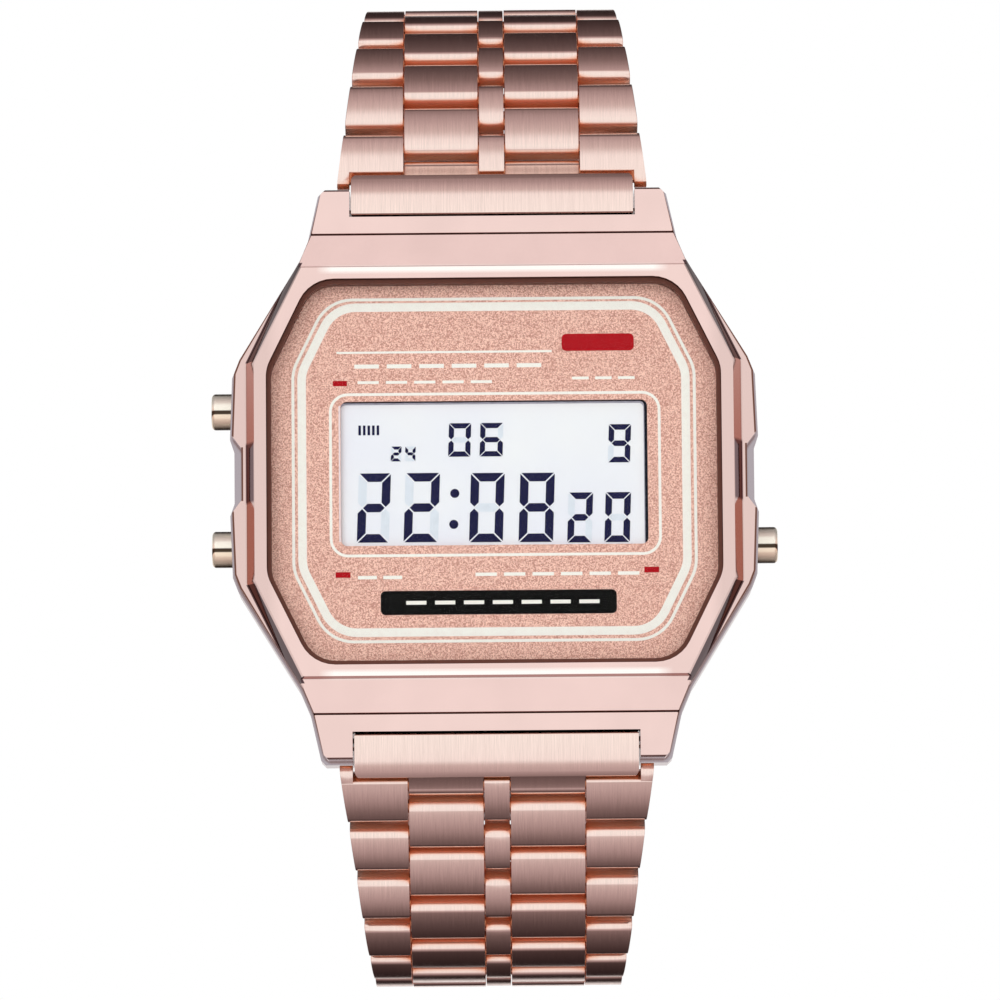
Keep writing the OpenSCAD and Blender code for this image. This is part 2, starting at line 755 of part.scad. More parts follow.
// Side view of a link piece around two pins at c0 and c1: a domed face between two rounded ends. A first
// piece starts at hood_end instead, and is cut back under the end link's hood.
near_round = 0.5;
far_round = 0.7;
dome = 10;
function arc_points(y, z, r, from, to, n) =
  [for (i = [0:n]) let(a = from + (to - from) * i / n) [y + r * cos(a), z + r * sin(a)]];
function piece_points(c0, c1, hood_end) =
  let(
    first = hood_end != undef,
    a = c0 - end_reach,
    b = c1 + end_reach,
    start = first ? hood_end : a,
    near = first ? 0.15 : near_round,
    length = b - start - (near + far_round) * (1 - sin(dome)),
    from = start + near * (1 - sin(dome)),
    top = link_top - length * tan(dome) / 4
  )
  concat(
    first ? [[a, 0.3], [start + 0.16, top - 0.35]] : [],
    arc_points(start + near, top - near * cos(dome), near, 180, 90 + dome, 5),
    [for (i = [1:5]) let(u = i / 6) [from + length * u, top + length * tan(dome) * u * (1 - u)]],
    arc_points(b - far_round, top - far_round * cos(dome), far_round, 90 - dome, 0, 5),
    [[b, -0.1], [b - 0.6, -link_bottom], [a + 0.6, -link_bottom], [a, -0.1]]
  );
module piece(c0, c1, x0, x1, bore0, bore1, hood_end) {
  difference() {
    along_x(x0, x1) polygon(piece_points(c0, c1, hood_end));
    translate([0, c0, 0]) rod(bore0, x0 - 1, x1 + 1);
    translate([0, c1, 0]) rod(bore1, x0 - 1, x1 + 1);
  }
}
// Cuts an outer row piece to the bracelet's taper
module tapered(c0, c1, s0) {
  a = c0 - 2;
  b = c1 + 2;
  both_sides()
    intersection() {
      children();
      translate([0, 0, -3])
        linear_extrude(6)
          polygon([[outer_inner - 1, a], [half_w(s0 + a), a], [half_w(s0 + b), b], [outer_inner - 1, b]]);
    }
}
module outer_piece(c0, c1, s0, bore0, bore1) {
  tapered(c0, c1, s0) piece(c0, c1, outer_inner, 12, bore0, bore1);
}

still = pin_r + 0.01;
turning = pin_r + pin_play;
pin_inset = 0.2;

// The first link of each half: outer and centre pieces only, with a toe beside the hood
toe_12 = [[0.4, 1.15], [-0.85, 1.1], [-1.2, 0.9], [-1.3, 0.6], [-1.2, 0.1], [-0.9, -0.4], [0.4, -0.4]];
toe_6 = [
  [0.4, 1.15], [-1.2, 1.1], [-1.6, 0.95], [-1.75, 0.7], [-1.75, 0.35], [-1.42, -0.05], [-0.9, -0.4],
  [0.4, -0.4]
];
module first_link(hood_end, toe) {
  s0 = 0.125 * pitch;
  color(rose_dark) {
    piece(0, first_pitch, -centre_half, centre_half, still, still, hood_end);
    tapered(0, first_pitch, s0)
      difference() {
        union() {
          piece(0, first_pitch, outer_inner, 12, still, still, hood_end);
          along_x(lug_w / 2 + 0.02, 11) polygon(toe);
        }
        rod(still, 0, 13);
      }
  }
  color(steel) {
    rod(pin_r, -half_w(s0) + pin_inset, half_w(s0) - pin_inset);
    translate([0, first_pitch, 0])
      rod(pin_r, -half_w(s0 + first_pitch) + pin_inset, half_w(s0 + first_pitch) - pin_inset);
  }
}

// Every other link: mid pieces on the near pin, outer and centre pieces on the far pin
module link(k, last) {
  s0 = (k - 2 + 0.585) * pitch;
  end_pin = last ? last_arm : pitch;
  color(rose_dark) {
    both_sides() piece(0, half_turn, mid_inner, mid_outer, turning, still);
    piece(half_turn, last ? half_turn : pitch, -centre_half, centre_half, still, still);
    outer_piece(half_turn, end_pin, s0, still, last ? 0.42 : still);
  }
  color(steel) {
    w = half_w(s0 + half_turn) - pin_inset;
    translate([0, half_turn, 0]) rod(pin_r, -w, w);
    if (!last) {
      v = half_w(s0 + pitch) - pin_inset;
      translate([0, pitch, 0]) rod(pin_r, -v, v);
    }
  }
}

module place_12(k) {
  at = joint_at(tilts_12, k - 1, pitch);
  translate([0, at[0], at[1]]) rotate([90 - tilts_12[k - 1], 0, 0]) children();
}
module place_6(k) {
  at = joint_at(tilts_6, k - 1, last_arm);
  mirror([0, 0, 1])
    translate([0, at[0], at[1]]) rotate([90 - tilts_6[k - 1], 0, 0]) children();
}
module link_12(k) {
  place_12(k) {
    if (k == 1) {
      first_link(-0.48, toe_12);
    } else {
      link(k, false);
    }
  }
}
module link_6(k) {
  place_6(k) {
    if (k == 1) {
      first_link(-0.95, toe_6);
    } else {
      link(k, k == links_per_side);
    }
  }
}

// Clasp pieces are drawn in the frame of the cover's pin
module place_clasp() {
  at = joint_at(tilts_12, links_per_side, pitch);
  translate([0, at[0], at[1]]) rotate([90 - clasp_start, 0, 0]) children();
}
// Arc-shaped sheets are made of flat facets that all sheets of one radius share
facet = 1.6;
function facet_r(s, r) =
  let(part = clasp_angle(s - facet * floor(s / facet)), whole = clasp_angle(facet))
  r * cos(whole / 2) / cos(part - whole / 2);
function facet_ends(s0, s1) =
  concat([s0], [for (i = [ceil(s0 / facet + 0.02):floor(s1 / facet - 0.02)]) i * facet], [s1]);
module strip(r0, t, x0, x1, s0, s1) {
  ends = facet_ends(s0, s1);
  along_x(x0, x1)
    polygon(concat(
      [for (s = ends) clasp_point(s, facet_r(s, r0))],
      turned([for (s = ends) clasp_point(s, facet_r(s, r0 + t))])
    ));
}
module at_clasp(s, r) {
  p = clasp_point(s, r);
  translate([0, p[0], p[1]]) rotate([-clasp_angle(s), 0, 0]) children();
}

// Removes what a sheet has past distance s between two widths, on both sides
module end_cut(s, x0, x1, towards) {
  both_sides()
    at_clasp(s, clasp_r)
      translate([x0, towards > 0 ? 0 : -6, -3]) cube([x1 - x0, 6, 8]);
}

module clasp_cover() {
  wall_out = band_half_w - 0.02;
  color(rose)
    place_clasp()
      difference() {
        union() {
          difference() {
            union() {
              strip(cover_r, cover_t, -band_half_w, band_half_w, 1.6, clasp_l);
              both_sides()
                strip(clasp_r - 1.3, 2.4, wall_out - 0.6, wall_out, 2.2, cover_full_s + 0.4);
            }
            end_cut(cover_full_s, cover_knuckle_out, 9, 1);
            end_cut(cover_full_s, -1, cover_knuckle_in, 1);
          }
          both_sides() {
            at_clasp(clasp_l, blade_hinge_r)
              rod(0.85, cover_knuckle_in + 0.03, cover_knuckle_out - 0.03);
            at_clasp(7, clasp_r - 1.1) translate([wall_out - 0.6, 0, 0]) sphere(r = 0.25);
            rod(end_reach, mid_inner, mid_outer);
            along_x(mid_inner + 0.03, mid_outer - 0.03)
              polygon([[0, -0.7], [0.8, -0.5], [2.6, 0.85], [2.6, 1.3], [1.7, 1.35], [0.2, 0.72]]);
          }
        }
        rod(pin_r + pin_play, -12, 12);
        at_clasp(clasp_l, blade_hinge_r) rod(blade_pin_r + pin_play, -12, 12);
      }
}

module clasp_middle_blade() {
  color(steel)
    place_clasp()
      difference() {
        union() {
          difference() {
            strip(middle_r, clasp_sheet, -blade_half_w, blade_half_w, fold_hinge_s, clasp_l);
            end_cut(clasp_l - 1.8, cover_knuckle_in - 0.2, 9, 1);
            end_cut(fold_hinge_s + 1.2, -1, fold_knuckle_in, -1);
          }
          at_clasp(clasp_l, blade_hinge_r) rod(0.75, -cover_knuckle_in + 0.1, cover_knuckle_in - 0.1);
          both_sides()
            at_clasp(fold_hinge_s, fold_hinge_r)
              rod(knuckle_r, fold_knuckle_in + 0.03, blade_half_w - 0.03);
        }
        at_clasp(clasp_l, blade_hinge_r) rod(blade_pin_r + 0.01, -12, 12);
        at_clasp(fold_hinge_s, fold_hinge_r) rod(blade_pin_r + 0.01, -12, 12);
      }
}

module clasp_inner_blade() {
  color(steel)
    place_clasp()
      difference() {
        union() {
          difference() {
            strip(inner_r, clasp_sheet, -inner_half_w, inner_half_w, fold_hinge_s, clasp_l - 1.6);
            end_cut(fold_hinge_s + 1.2, fold_knuckle_in - 0.12, 9, -1);
          }
          at_clasp(fold_hinge_s, fold_hinge_r) rod(knuckle_r, -fold_knuckle_in + 0.15, fold_knuckle_in - 0.15);
          at_clasp(clasp_l, clasp_r)
            along_x(-inner_half_w + 0.4, inner_half_w - 0.4)
              polygon([[-2.4, -0.95], [-1.2, -0.72], [-0.2, -1.05], [0, -1.8], [-1.2, -1.55], [-2.4, -1.05]]);
          at_clasp(clasp_l, tip_r) rod(tip_barrel_r, -5.5, 5.5);
        }
        at_clasp(fold_hinge_s, fold_hinge_r) rod(blade_pin_r + pin_play, -12, 12);
        at_clasp(clasp_l, tip_r) rod(0.51, -12, 12);
      }
}

module clasp_hinge_pins() {
  color(steel)
    place_clasp() {
      at_clasp(clasp_l, blade_hinge_r) rod(blade_pin_r, -5.3, 5.3);
      at_clasp(fold_hinge_s, fold_hinge_r) rod(blade_pin_r, -6.5, 6.5);
    }
}

module clasp_spring_bar() {
  color(steel)
    place_clasp()
      at_clasp(clasp_l, tip_r) {
        rod(0.5, -5.2, 5.2);
        rod(0.35, -5.62, 5.62);
      }
}

case_shell();
crystal();
crystal_gasket();
face_plate();
lcd_glass();
light_guide();
contact_strips();
module_frame();
circuit_board();
board_parts();
battery();
battery_clip();
button_contacts();
insulator_film();
piezo_disc();
buzzer_spring();
back_gasket();
case_back();
case_back_screws();
button_seals();
button_upper_left();
button_lower_left();
button_lower_right();
return_spring_upper_left();
return_spring_lower_left();
return_spring_lower_right();
spring_bar_12();
spring_bar_6();
end_link_12();
end_link_6();
for (k = [1:links_per_side]) {
  number = str(k < 10 ? "0" : "", k);
  link_12(k);
  link_6(k);
}
clasp_cover();
clasp_middle_blade();
clasp_inner_blade();
clasp_hinge_pins();
clasp_spring_bar();
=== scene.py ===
"""Looks of the digital watch: metal finishes, printed face, display digits, light and camera."""
import math

import bpy
from mathutils import Matrix, Vector


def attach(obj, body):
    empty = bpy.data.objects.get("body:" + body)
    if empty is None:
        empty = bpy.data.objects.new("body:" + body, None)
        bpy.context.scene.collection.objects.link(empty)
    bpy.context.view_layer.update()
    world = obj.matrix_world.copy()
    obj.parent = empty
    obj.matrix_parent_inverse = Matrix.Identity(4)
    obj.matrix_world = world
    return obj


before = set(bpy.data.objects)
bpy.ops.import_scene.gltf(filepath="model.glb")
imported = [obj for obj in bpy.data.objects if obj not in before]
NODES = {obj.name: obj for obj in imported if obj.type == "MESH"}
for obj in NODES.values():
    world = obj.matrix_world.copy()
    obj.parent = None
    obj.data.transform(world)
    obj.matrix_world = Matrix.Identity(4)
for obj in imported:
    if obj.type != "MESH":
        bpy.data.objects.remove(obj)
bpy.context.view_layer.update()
MM = 0.001

# Depths of the face in millimetres, the same as in the part's source
RING_FRONT = -8.2
PLATE_FRONT = -6.58
DISPLAY_FRONT = -6.22

# The printed face sits a little below the middle of the case
ART_RISE = -0.25

# Lean of the face's slanted sides from upright, in degrees
FACE_LEAN = 26.3

ROSE = (0.83, 0.63, 0.59)
ROSE_BRUSHED = (0.88, 0.72, 0.655)
# Painted highlight: the pale rose of the band where the ring meets the horns
ROSE_HIGHLIGHT = (1.0, 0.95, 0.91)
STEEL = (0.62, 0.62, 0.63)
CREAM = (1.0, 0.97, 0.89)
# Painted reflection and shade: copper deep in the links' gaps, where the metal mirrors itself
GAP_REFLECTION_COPPER = (0.9, 0.33, 0.15)
# Painted shade: dark brown in the case's creases and along its outline
CREASE_SHADE = (0.16, 0.07, 0.05)
# Painted shade: dark plum in the notches at the sides of the case
NOTCH_SHADE_PLUM = (0.12, 0.05, 0.06)
LOWER_SHELL = (0.40, 0.36, 0.39)
# Painted dark reflection on the ring's slanted sides
BEZEL_DARK_REFLECTION = (0.085, 0.05, 0.055)

# Values that a noise texture mostly stays between
NOISE_LOW = 0.3
NOISE_HIGH = 0.7

# Share of open surroundings below which a point counts as deep in a gap
DEEP_SHARE = 0.3
GAP_SAMPLES = 8

# A colour mix keeps its two colours and its result at these sockets, after those of its other data types
MIX_LOW = 6
MIX_HIGH = 7
MIX_RESULT = 2


def shaded(colour, factor):
    return tuple(min(1, c * factor) for c in colour)


class Tree:
    """A node tree that is built one node at a time."""

    def __init__(self, tree):
        self.nodes = tree.nodes
        self.links = tree.links
        self.place = self.nodes.new("ShaderNodeTexCoord")

    def join(self, source, socket):
        """Feeds a socket with an output, or sets it to a plain value."""
        if hasattr(source, "is_linked"):
            self.links.new(source, socket)
        else:
            socket.default_value = source

    def split(self, vector):
        """The X, Y and Z of a vector."""
        split = self.nodes.new("ShaderNodeSeparateXYZ")
        self.links.new(vector, split.inputs["Vector"])
        return split.outputs

    def ray(self, kind):
        """1 for rays of one kind, such as Camera or Glossy."""
        return self.nodes.new("ShaderNodeLightPath").outputs["Is %s Ray" % kind]

    def coords(self, scale=(1, 1, 1), turn=(0, 0, 0)):
        """Place on the object in metres, scaled and turned."""
        mapping = self.nodes.new("ShaderNodeMapping")
        mapping.inputs["Scale"].default_value = scale
        mapping.inputs["Rotation"].default_value = turn
        self.links.new(self.place.outputs["Object"], mapping.inputs["Vector"])
        return mapping.outputs["Vector"]

    def noise(self, vector, scale, detail=3, roughness=0.55):
        noise = self.nodes.new("ShaderNodeTexNoise")
        noise.inputs["Scale"].default_value = scale
        noise.inputs["Detail"].default_value = detail
        noise.inputs["Roughness"].default_value = roughness
        self.links.new(vector, noise.inputs["Vector"])
        return noise.outputs["Fac"]

    def cells(self, vector, scale):
        cells = self.nodes.new("ShaderNodeTexVoronoi")
        cells.inputs["Scale"].default_value = scale
        self.links.new(vector, cells.inputs["Vector"])
        return cells.outputs["Color"]

    def ramp(self, value, stops):
        """A colour for a value from 0 to 1; each stop is a value and its colour."""
        ramp = self.nodes.new("ShaderNodeValToRGB")
        points = ramp.color_ramp.elements
        while len(points) < len(stops):
            points.new(0.5)
        for point, (at, colour) in zip(points, stops):
            point.position = at
            point.color = (*colour, 1)
        self.links.new(value, ramp.inputs["Fac"])
        return ramp.outputs["Color"]

    def vary(self, noise, colour, low, high):
        """The colour, low to high times as bright as the noise rises."""
        return self.ramp(noise, [(NOISE_LOW, shaded(colour, low)), (NOISE_HIGH, shaded(colour, high))])

    def span(self, value, low, high, from_low=NOISE_LOW, from_high=NOISE_HIGH):
        """Goes from low to high as value goes from from_low to from_high, and no further."""
        span = self.nodes.new("ShaderNodeMapRange")
        span.inputs["From Min"].default_value = from_low
        span.inputs["From Max"].default_value = from_high
        span.inputs["To Min"].default_value = low
        span.inputs["To Max"].default_value = high
        self.links.new(value, span.inputs["Value"])
        return span.outputs["Result"]

    def math(self, kind, first, second=0.0):
        node = self.nodes.new("ShaderNodeMath")
        node.operation = kind
        self.links.new(first, node.inputs[0])
        self.join(second, node.inputs[1])
        return node.outputs[0]

    def nearness(self, value, middle, flat, reach):
        """1 where value is within flat of middle, falling to 0 at reach from it."""
        return self.span(self.math("ABSOLUTE", self.math("SUBTRACT", value, middle)), 1, 0, flat, reach)

    def mix(self, factor, low, high):
        """Goes from the colour low to the colour high as factor goes from 0 to 1."""
        mix = self.nodes.new("ShaderNodeMix")
        mix.data_type = "RGBA"
        self.links.new(factor, mix.inputs["Factor"])
        for place, colour in ((MIX_LOW, low), (MIX_HIGH, high)):
            self.join((*colour, 1) if isinstance(colour, tuple) else colour, mix.inputs[place])
        return mix.outputs[MIX_RESULT]

    def in_gaps(self, reach, open_share):
        """1 deep in a narrow gap and 0 in the open; reach is how far it looks, in millimetres."""
        near = self.nodes.new("ShaderNodeAmbientOcclusion")
        near.samples = GAP_SAMPLES
        near.inputs["Distance"].default_value = reach * MM
        return self.span(near.outputs["AO"], 1, 0, DEEP_SHARE, open_share)

    def distance(self, axis):
        """How far a point is from the middle of the watch along X, Y or Z, in millimetres."""
        return self.math("DIVIDE", self.math("ABSOLUTE", self.split(self.place.outputs["Object"])[axis]), MM)


class Shader(Tree):
    """A material with its main shader."""

    def __init__(self, name):
        self.material = bpy.data.materials.new(name)
        self.material.use_nodes = True
        super().__init__(self.material.node_tree)
        self.surface = self.nodes["Principled BSDF"]

    def set(self, **values):
        for key, value in values.items():
            self.surface.inputs[key.replace("_", " ")].default_value = value

    def feed(self, output, socket):
        self.links.new(output, self.surface.inputs[socket])

    def bump(self, height, strength, depth):
        """Fine relief of a depth in millimetres."""
        bump = self.nodes.new("ShaderNodeBump")
        bump.inputs["Strength"].default_value = strength
        bump.inputs["Distance"].default_value = depth * MM
        self.links.new(height, bump.inputs["Height"])
        self.feed(bump.outputs["Normal"], "Normal")


# Where the colour of the case changes, in millimetres from the middle of the watch. A fade has a start and
# an end; a band has its middle, half the width of its full colour and half of its whole width.
# Painted shade: the case is painted a little darker towards its sides
SIDE_FADE = (13.5, 14.4)
SIDE_SHADE = 0.87
# Painted highlight: a pale band along the ring's top and bottom edges, fading out towards the sides
HIGHLIGHT_BAND = (12.92, 0.1, 0.35)
HIGHLIGHT_BAND_END = (10.2, 11.2)
# Painted shade in the notches
NOTCH_SHADE_BAND = (15.5, 0.24, 0.3)
NOTCH_SHADE_END = (1.8, 2.0)
LOWER_SHELL_FADE = (4.75, 4.85)
FRONT_FADE = (6.7, 6.8)
LINE_END_FADE = 0.04
LINE_SIDE_FADE = 0.02
CREASE_REACH = 0.25
CREASE_OPEN = 0.85

# Lines of painted shade along the outline on the front of the case: lean from upright in degrees, and in
# millimetres the distance of the outer side from the middle, the width, and the heights between which the
# line runs
OUTLINE_SHADE = [
    (0.0, 16.05, 0.1, 0.0, 1.7), (2.2, 16.73, 0.1, 2.4, 6.4), (21.3, 17.7, 0.1, 6.4, 7.3),
    (30.8, 17.61, 0.1, 7.3, 13.7), (23.0, 16.68, 0.1, 13.7, 15.4), (12.5, 14.66, 0.1, 15.4, 18.2),
]
# A broad line of painted dark reflection on each slanted side of the ring
BEZEL_SIDE_REFLECTION = (FACE_LEAN, 17.27, 0.48, 7.1, 13.4)
FRONT_LINES = [(line, CREASE_SHADE) for line in OUTLINE_SHADE] + [(BEZEL_SIDE_REFLECTION, BEZEL_DARK_REFLECTION)]


def case_tones_and_painted_light(s, tone, colour):
    """The case's colour by place, with painted light and shade.

    It is grey on the lower shell; painted shade darkens it along the sides, in the notches and creases and
    along its outline, a painted dark reflection lies on the ring's slanted sides and a painted highlight
    where the ring meets the horns.
    """
    across, deep, along = s.distance("X"), s.distance("Y"), s.distance("Z")
    # Painted shade along the sides
    tone = s.mix(s.span(across, 0, 1, *SIDE_FADE), tone, shaded(colour, SIDE_SHADE))
    # Painted highlight where the ring meets the horns
    pale = s.math("MULTIPLY", s.nearness(along, *HIGHLIGHT_BAND), s.span(across, 1, 0, *HIGHLIGHT_BAND_END))
    tone = s.mix(pale, tone, ROSE_HIGHLIGHT)
    # Painted shade in the notches
    notch = s.math("MULTIPLY", s.nearness(across, *NOTCH_SHADE_BAND), s.span(along, 1, 0, *NOTCH_SHADE_END))
    tone = s.mix(notch, tone, NOTCH_SHADE_PLUM)
    tone = s.mix(s.span(deep, 1, 0, *LOWER_SHELL_FADE), tone, LOWER_SHELL)
    front = s.span(deep, 0, 1, *FRONT_FADE)
    for (lean, edge, wide, low, high), line_colour in FRONT_LINES:
        outward = s.math("ADD", s.math("MULTIPLY", across, math.cos(math.radians(lean))),
                         s.math("MULTIPLY", along, math.sin(math.radians(lean))))
        half = (high - low) / 2
        covered = s.math("MULTIPLY", s.nearness(along, low + half, half, half + LINE_END_FADE), front)
        line = s.nearness(outward, edge - wide / 2, wide / 2, wide / 2 + LINE_SIDE_FADE)
        tone = s.mix(s.math("MULTIPLY", line, covered), tone, line_colour)
    # Painted shade deep in the case's creases
    return s.mix(s.in_gaps(CREASE_REACH, CREASE_OPEN), tone, CREASE_SHADE)


def polished(name, colour, rough, tones=None):
    """Plated metal with a faint uneven polish and hairline scratches; tones recolours it by place."""
    s = Shader(name)
    s.set(Metallic=1.0)
    tone = s.vary(s.noise(s.coords(), scale=220, detail=2), colour, 0.96, 1.03)
    if tones:
        tone = tones(s, tone, colour)
    s.feed(tone, "Base Color")
    hairs = s.noise(s.coords(scale=(1, 1, 0.06), turn=(0.2, 0.5, 0.3)), scale=9000, detail=2)
    s.feed(s.span(hairs, rough * 0.8, rough * 1.35), "Roughness")
    s.bump(hairs, strength=0.05, depth=0.01)
    return s.material


def brushed(name, colour, rough, along=(1, 0.02, 0.02), scale=26000, relief=0.05, gaps=0.0):
    """Metal with fine lines and a painted copper reflection and shade in its gaps; gaps is how far it looks
    for a neighbour, in millimetres.
    """
    s = Shader(name)
    s.set(Metallic=1.0)
    lines = s.noise(s.coords(along), scale, roughness=0.7)
    broad = s.noise(s.coords(along), scale / 9, detail=2)
    tone = s.vary(lines, colour, 0.9, 1.07)
    # Painted copper reflection and shade deep in the gaps, where the metal is also made less mirror-like
    if gaps:
        deep = s.in_gaps(gaps, 0.8)
        tone = s.mix(deep, tone, GAP_REFLECTION_COPPER)
        s.feed(s.span(deep, 1.0, 0.5, 0, 1), "Metallic")
    s.feed(tone, "Base Color")
    s.feed(s.span(broad, rough * 0.85, rough * 1.2), "Roughness")
    s.bump(lines, relief, depth=0.03)
    return s.material


def painted_light_button_metal(name, upper, lower, dark):
    """Polished metal of a round pusher, coloured by which way its surface faces: painted highlights above and
    below its middle, and a painted dark reflection along its middle and where it faces straight up and
    straight down.
    """
    s = Shader(name)
    s.set(Metallic=0.6, Roughness=0.2)
    facing = s.split(s.place.outputs["Normal"])["Z"]
    waves = s.math("MULTIPLY", s.noise(s.coords((0.1, 1, 1)), scale=900, detail=2), 0.05)
    # Painted highlights and dark reflections, set by which way the surface faces
    tone = s.ramp(s.span(s.math("ADD", facing, waves), 0, 1, -1, 1),
                  [(0.03, dark), (0.1, lower), (0.38, lower), (0.41, dark), (0.49, dark), (0.52, upper),
                   (0.9, upper), (0.97, dark)])
    s.feed(tone, "Base Color")
    return s.material


def sparkle(name, colour, dark, light):
    """Metallic lacquer with fine flakes."""
    s = Shader(name)
    s.set(Metallic=0.3, Roughness=0.5)
    flakes = s.cells(s.coords(), scale=16000)
    grain = s.noise(s.coords(), scale=11000, detail=2, roughness=0.8)
    tone = s.ramp(s.span(s.math("ADD", flakes, grain), 0, 1, 0, 2),
                  [(0.36, dark), (0.5, colour), (0.62, light)])
    s.feed(tone, "Base Color")
    s.bump(flakes, strength=0.25, depth=0.03)
    return s.material


def plastic(name, colour, rough, grain=2500, change=0.08, relief=0.1, gloss=0.25):
    """Moulded plastic, rubber or ink with a fine surface grain."""
    s = Shader(name)
    s.set(Specular_IOR_Level=gloss)
    grains = s.noise(s.coords(), grain)
    s.feed(s.vary(grains, colour, 1 - change, 1 + change), "Base Color")
    s.feed(s.span(grains, rough * 0.85, rough * 1.2), "Roughness")
    s.bump(grains, relief, depth=0.02)
    return s.material


def clear_glass(name):
    """Glass with a faint haze, nearly unseen."""
    s = Shader(name)
    s.set(Alpha=0.008, Roughness=0.03, IOR=1.45, Specular_IOR_Level=0.1)
    haze = s.noise(s.coords(), scale=90, detail=2)
    s.feed(s.ramp(haze, [(NOISE_LOW, (0.5, 0.5, 0.5)), (NOISE_HIGH, (0.6, 0.6, 0.6))]), "Base Color")
    return s.material


def display(name):
    """Pale display glass with a faintly cloudy tone."""
    s = Shader(name)
    s.set(Roughness=0.22, IOR=1.5)
    cloud = s.noise(s.coords(), scale=120, detail=2)
    s.feed(s.ramp(cloud, [(0.25, (0.88, 0.91, 1.0)), (0.75, (0.97, 1.0, 1.0))]), "Base Color")
    return s.material


CASE_METAL = polished("rose_case", ROSE, 0.1, case_tones_and_painted_light)
COVER_METAL = polished("rose_polished", ROSE, 0.1)
CONTACT_METAL = polished("contact_gold", (0.72, 0.48, 0.18), 0.25)
HOOD_METAL = brushed("rose_hood", ROSE_BRUSHED, 0.14)
LINK_METAL = brushed("rose_brushed", ROSE_BRUSHED, 0.16, gaps=1.1)
BUTTON_METAL = painted_light_button_metal("champagne_polished", upper=(1.0, 0.96, 0.84), lower=(1.0, 0.84, 0.66),
                            dark=(0.05, 0.03, 0.015))
PLAIN_STEEL = brushed("steel_brushed", STEEL, 0.28, along=(1, 0.05, 0.05), scale=22000, relief=0.06)
BLADE_STEEL = brushed("steel_blade", STEEL, 0.24, along=(0.05, 1, 1), scale=20000, relief=0.06)
RUBBER = plastic("rubber_black", (0.02, 0.02, 0.021), 0.6)
GASKET = plastic("rubber_gasket", (0.13, 0.045, 0.03), 0.5)
LACQUER = sparkle("face_sparkle", (0.76, 0.42, 0.335), dark=(0.56, 0.27, 0.21), light=(1.0, 0.68, 0.56))

LOOKS = {
    "case_shell": CASE_METAL, "clasp_cover": COVER_METAL, "end_link_12": HOOD_METAL,
    "end_link_6": HOOD_METAL, "crystal": clear_glass("crystal_clear"), "crystal_gasket": GASKET,
    "face_plate": LACQUER, "lcd_glass": display("display_pale"),
    "light_guide": plastic("light_pipe", (0.85, 0.87, 0.84), 0.2),
    "contact_strips": RUBBER, "back_gasket": RUBBER, "button_seals": RUBBER,
    "module_frame": plastic("module_plastic", (0.03, 0.032, 0.037), 0.5),
    "circuit_board": plastic("board_green", (0.012, 0.09, 0.04), 0.35),
    "board_parts": plastic("chip_black", (0.015, 0.015, 0.016), 0.4),
    "battery": PLAIN_STEEL, "battery_clip": PLAIN_STEEL, "case_back": PLAIN_STEEL,
    "case_back_screws": PLAIN_STEEL, "spring_bar_12": PLAIN_STEEL, "spring_bar_6": PLAIN_STEEL,
    "clasp_middle_blade": BLADE_STEEL, "clasp_inner_blade": BLADE_STEEL,
    "clasp_hinge_pins": PLAIN_STEEL, "clasp_spring_bar": PLAIN_STEEL,
    "button_contacts": CONTACT_METAL, "piezo_disc": CONTACT_METAL, "buzzer_spring": CONTACT_METAL,
    "insulator_film": plastic("film_amber", (0.55, 0.28, 0.04), 0.2),
}
for node in NODES:
    if node.startswith("link_"):
        LOOKS[node] = LINK_METAL
    elif node.startswith("button_") and node not in LOOKS:
        LOOKS[node] = BUTTON_METAL
    elif node.startswith("return_spring"):
        LOOKS[node] = PLAIN_STEEL

# Radius of the small polished round along the edges of the CAD solids, in millimetres
EDGE_ROUND = {"case_shell": 0.12, "clasp_cover": 0.1, "case_back": 0.08, "crystal": 0.05}
LINK_ROUND = 0.07
WELD_GAP = 0.002
# Angles between faces in degrees: up to the first they are one face, from the second on the edge is sharp
ONE_FACE = 0.5
SHARP_EDGE = 32


def round_edges(thing, width):
    """Rounds the sharp edges of a solid and keeps its flat faces flat in the light."""
    flat = thing.modifiers.new("flat faces", "DECIMATE")
    flat.decimate_type = "DISSOLVE"
    flat.angle_limit = math.radians(ONE_FACE)
    bevel = thing.modifiers.new("edge round", "BEVEL")
    bevel.width = width * MM
    bevel.segments = 2
    bevel.limit_method = "ANGLE"
    bevel.angle_limit = math.radians(SHARP_EDGE)
    bevel.use_clamp_overlap = True
    thing.data.shade_smooth()
    weighted = thing.modifiers.new("flat normals", "WEIGHTED_NORMAL")
    weighted.weight = 100
    weighted.thresh = 0.02


for node, thing in NODES.items():
    if thing.type != "MESH":
        continue
    thing.data.materials.clear()
    thing.data.materials.append(LOOKS[node])
    weld = thing.modifiers.new("weld", "WELD")
    weld.merge_threshold = WELD_GAP * MM
    if node in EDGE_ROUND:
        round_edges(thing, EDGE_ROUND[node])
    elif node.startswith("link_") or node.startswith("end_link"):
        round_edges(thing, LINK_ROUND)


def piece(name, verts, faces, material, body="case"):
    """Makes a mesh piece of the face's art from millimetre points and lets it ride on a body."""
    mesh = bpy.data.meshes.new(name)
    mesh.from_pydata([(x * MM, y * MM, (z + ART_RISE) * MM) for x, y, z in verts], [], faces)
    mesh.materials.append(material)
    thing = bpy.data.objects.new(name, mesh)
    bpy.context.scene.collection.objects.link(thing)
    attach(thing, body)


